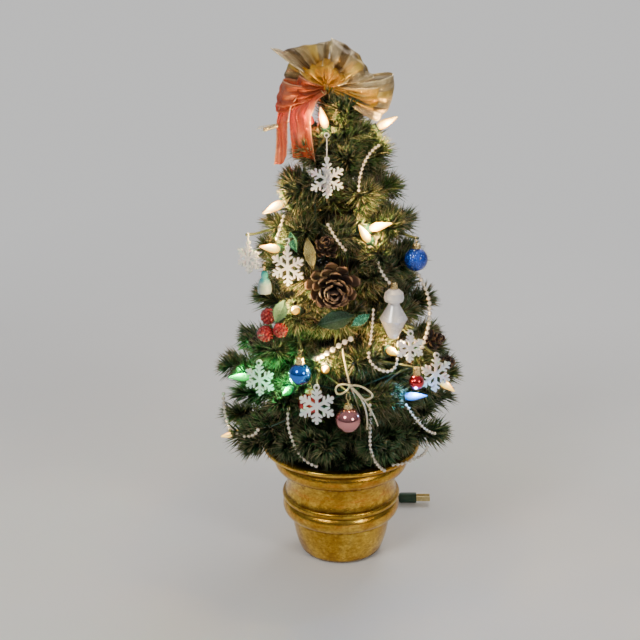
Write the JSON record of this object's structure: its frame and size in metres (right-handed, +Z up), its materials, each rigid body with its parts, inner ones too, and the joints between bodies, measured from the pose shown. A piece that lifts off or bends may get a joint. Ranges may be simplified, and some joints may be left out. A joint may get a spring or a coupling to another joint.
{
  "type": "artificial tabletop tree",
  "caption": "Small artificial conifer in a gilded urn pot, with frosted needle branches, lights, hanging ornaments, bead garland and a sheer ribbon bow on top.",
  "frame": {"origin": "centre of the pot's flat underside", "axes": "+Z up along the pot and trunk; -Y is the decorated front that faces the viewer; +X is the viewer's right"},
  "size_m": [0.2337, 0.2565, 0.5462],
  "materials": {
    "bead_pearl": "pearlised beads",
    "blue_glass": "metallised blue blown glass",
    "gold_cap": "thin crimped gilt metal",
    "blue_glitter": "blue glitter over gloss",
    "coral_ribbon": "sheer coral ribbon",
    "gold_ribbon": "sheer wired metallic ribbon",
    "tie_wire": "gilt wire",
    "frosted_needles": "matte cut film needles, frosted tips",
    "bulb_clear": "clear glass, lit warm",
    "bulb_colour": "coloured glass, lit",
    "florist_wire": "green paper-covered wire",
    "foam": "matte green foam",
    "gold_wire": "thin gilt wire",
    "holder_green": "moulded green plastic",
    "leaf_green": "glittered cloth leaf",
    "cord_green": "green insulation",
    "pearl_white": "pearlised white",
    "cone_scales": "dry brown scales",
    "plaster": "matte cast plaster",
    "blade_brass": "bare brass",
    "gilded_pot": "satin gold leaf over resin, lightly mottled",
    "red_glass": "metallised red blown glass",
    "berry": "sugared deep red",
    "rose_glass": "pearlised rose blown glass",
    "flake_plastic": "translucent white, light glitter",
    "thread": "white thread",
    "teal_clear": "teal fading to clear",
    "dowel": "bare wood",
    "tape": "matte brown paper tape"
  },
  "bodies": {
    "tree": {"bead_garland": "bead_pearl", "branches_low": "frosted_needles", "branches_middle": "frosted_needles", "branches_rim": "frosted_needles", "branches_top": "frosted_needles", "branches_upper": "frosted_needles", "bulbs_clear": "bulb_clear", "bulbs_coloured": "bulb_colour", "cone_wires": "florist_wire", "crown_tips": "frosted_needles", "foam_plug": "foam", "gold_cord_bow": "gold_wire", "hanging_twigs": "gold_wire", "lampholders": "holder_green", "leaves": "leaf_green", "light_cord": "cord_green", "pine_cone_front": "cone_scales", "pine_cones_small": "cone_scales", "plaster_ballast": "plaster", "plug_blades": "blade_brass", "plug_body": "cord_green", "pot": "gilded_pot", "red_berries": "berry", "trunk_dowel": "dowel", "trunk_tape": "tape"},
    "blue_ball_right": {"blue_ball_right": "blue_glitter", "blue_ball_right_cap": "gold_cap"},
    "blue_ball_left": {"blue_ball_left": "blue_glass", "blue_ball_left_cap": "gold_cap"},
    "rose_ball": {"rose_ball": "rose_glass", "rose_ball_cap": "gold_cap"},
    "red_ball_right": {"red_ball_right": "red_glass", "red_ball_right_cap": "gold_cap"},
    "red_ball_front": {"red_ball_front": "red_glass", "red_ball_front_cap": "gold_cap"},
    "pearl_finial": {"pearl_finial": "pearl_white", "pearl_finial_cap": "gold_cap"},
    "teal_bell": {"teal_bell": "teal_clear", "teal_bell_cap": "gold_cap"},
    "snowflake_right": {"snowflake_right": "flake_plastic"},
    "snowflake_low_left": {"snowflake_low_left": "flake_plastic"},
    "snowflake_front": {"snowflake_front": "flake_plastic"},
    "snowflake_low_right": {"snowflake_low_right": "flake_plastic"},
    "snowflake_top_thread": {"snowflake_top_thread": "thread"},
    "snowflake_top": {"snowflake_top": "flake_plastic"},
    "snowflake_left_thread": {"snowflake_left_thread": "thread"},
    "snowflake_left": {"snowflake_left": "flake_plastic"},
    "snowflake_centre_thread": {"snowflake_centre_thread": "thread"},
    "snowflake_centre": {"snowflake_centre": "flake_plastic"},
    "branch_low_right": {"branch_low_right": "frosted_needles"},
    "branch_low_back": {"branch_low_back": "frosted_needles"},
    "branch_low_left": {"branch_low_left": "frosted_needles"},
    "branch_mid_back": {"branch_mid_back": "frosted_needles"},
    "branch_mid_right": {"branch_mid_right": "frosted_needles"},
    "branch_upper_back": {"branch_upper_back": "frosted_needles"},
    "branch_upper_left": {"branch_upper_left": "frosted_needles"},
    "branch_upper_right": {"branch_upper_right": "frosted_needles"},
    "topper_bow": {"bow_gold_loops": "gold_ribbon", "bow_coral_ribbon": "coral_ribbon", "bow_tie_wire": "tie_wire"}
  },
  "joints": [
    {"name": "blue_ball_right_swing", "type": "hinge", "parent": "tree", "child": "blue_ball_right", "pos_m": [0.07107, -0.05921, 0.359], "axis": [0.7683, -0.6401, 0], "range_deg": [-20, 20]},
    {"name": "blue_ball_left_swing", "type": "hinge", "parent": "tree", "child": "blue_ball_left", "pos_m": [-0.03845, -0.10679, 0.2625], "axis": [-0.3387, -0.9409, 0], "range_deg": [-20, 12]},
    {"name": "rose_ball_swing", "type": "hinge", "parent": "tree", "child": "rose_ball", "pos_m": [0.00664, -0.12262, 0.2265], "axis": [0.0541, -0.9985, 0], "range_deg": [-2, 8]},
    {"name": "red_ball_right_swing", "type": "hinge", "parent": "tree", "child": "red_ball_right", "pos_m": [0.07172, -0.0918, 0.24], "axis": [0.6157, -0.788, 0], "range_deg": [-20, 20]},
    {"name": "red_ball_front_swing", "type": "hinge", "parent": "tree", "child": "red_ball_front", "pos_m": [-0.0294, -0.106, 0.229], "axis": [-0.2672, -0.9636, 0], "range_deg": [-20, 20]},
    {"name": "pearl_finial_swing", "type": "hinge", "parent": "tree", "child": "pearl_finial", "pos_m": [0.04964, -0.081, 0.3205], "axis": [0.5225, -0.8526, 0], "range_deg": [-20, 14]},
    {"name": "teal_bell_swing", "type": "hinge", "parent": "tree", "child": "teal_bell", "pos_m": [-0.07289, -0.05695, 0.332], "axis": [-0.788, -0.6157, 0], "range_deg": [-20, 20]},
    {"name": "snowflake_right_swing", "type": "hinge", "parent": "tree", "child": "snowflake_right", "pos_m": [0.06481, -0.09256, 0.276], "axis": [0.1564, -0.9877, 0], "range_deg": [-14, 20]},
    {"name": "snowflake_low_left_swing", "type": "hinge", "parent": "tree", "child": "snowflake_low_left", "pos_m": [-0.07769, -0.08479, 0.2435], "axis": [-0.3827, -0.9239, 0], "range_deg": [-20, 20]},
    {"name": "snowflake_front_swing", "type": "hinge", "parent": "tree", "child": "snowflake_front", "pos_m": [-0.02249, -0.12499, 0.2345], "axis": [-0.0035, -1, 0], "range_deg": [-20, 20]},
    {"name": "snowflake_low_right_swing", "type": "hinge", "parent": "tree", "child": "snowflake_low_right", "pos_m": [0.09131, -0.07394, 0.247], "axis": [0.4848, -0.8746, 0], "range_deg": [-10, 20]},
    {"name": "snowflake_top_swing", "type": "hinge", "parent": "tree", "child": "snowflake_top_thread", "pos_m": [-0.013, -0.06062, 0.456], "axis": [-0.2096, -0.9778, 0], "range_deg": [-20, 20]},
    {"name": "snowflake_top_turn", "type": "hinge", "parent": "snowflake_top_thread", "child": "snowflake_top", "pos_m": [-0.013, -0.06062, 0.434], "axis": [0, 0, 1], "range_deg": [-45, 45]},
    {"name": "snowflake_left_swing", "type": "hinge", "parent": "tree", "child": "snowflake_left_thread", "pos_m": [-0.08982, -0.03093, 0.355], "axis": [-0.9455, -0.3256, 0], "range_deg": [-20, 20]},
    {"name": "snowflake_left_turn", "type": "hinge", "parent": "snowflake_left_thread", "child": "snowflake_left", "pos_m": [-0.08982, -0.03093, 0.347], "axis": [0, 0, 1], "range_deg": [-45, 45]},
    {"name": "snowflake_centre_swing", "type": "hinge", "parent": "tree", "child": "snowflake_centre_thread", "pos_m": [-0.04956, -0.07632, 0.361], "axis": [-0.5446, -0.8387, 0], "range_deg": [-16, 9]},
    {"name": "snowflake_centre_turn", "type": "hinge", "parent": "snowflake_centre_thread", "child": "snowflake_centre", "pos_m": [-0.04956, -0.07632, 0.354], "axis": [0, 0, 1], "range_deg": [-25, 25]},
    {"name": "branch_low_right_bend", "type": "hinge", "parent": "tree", "child": "branch_low_right", "pos_m": [0.01001, 0.00194, 0.15157], "axis": [0.1907, -0.9816, 0], "range_deg": [-8, 25]},
    {"name": "branch_low_back_bend", "type": "hinge", "parent": "tree", "child": "branch_low_back", "pos_m": [0.00218, 0.00996, 0.14385], "axis": [0.9769, -0.2136, 0], "range_deg": [-2, 25]},
    {"name": "branch_low_left_bend", "type": "hinge", "parent": "tree", "child": "branch_low_left", "pos_m": [-0.01009, -0.00153, 0.14804], "axis": [-0.1498, 0.9887, 0], "range_deg": [-8, 25]},
    {"name": "branch_mid_back_bend", "type": "hinge", "parent": "tree", "child": "branch_mid_back", "pos_m": [-0.00195, 0.01001, 0.1746], "axis": [0.9816, 0.1911, 0], "range_deg": [-8, 20]},
    {"name": "branch_mid_right_bend", "type": "hinge", "parent": "tree", "child": "branch_mid_right", "pos_m": [0.00999, 0.00207, 0.20586], "axis": [0.203, -0.9792, 0], "range_deg": [-8, 25]},
    {"name": "branch_upper_back_bend", "type": "hinge", "parent": "tree", "child": "branch_upper_back", "pos_m": [-0.00415, 0.00932, 0.24682], "axis": [0.9133, 0.4073, 0], "range_deg": [-8, 25]},
    {"name": "branch_upper_left_bend", "type": "hinge", "parent": "tree", "child": "branch_upper_left", "pos_m": [-0.00971, -0.00311, 0.25547], "axis": [-0.3048, 0.9524, 0], "range_deg": [-8, 20]},
    {"name": "branch_upper_right_bend", "type": "hinge", "parent": "tree", "child": "branch_upper_right", "pos_m": [0.00959, 0.00347, 0.29248], "axis": [0.3405, -0.9402, 0], "range_deg": [-8, 25]},
    {"name": "topper_bow_lift", "type": "slide", "parent": "tree", "child": "topper_bow", "axis": [0, 0, 1], "range_m": [0, 0.045]}
  ]
}
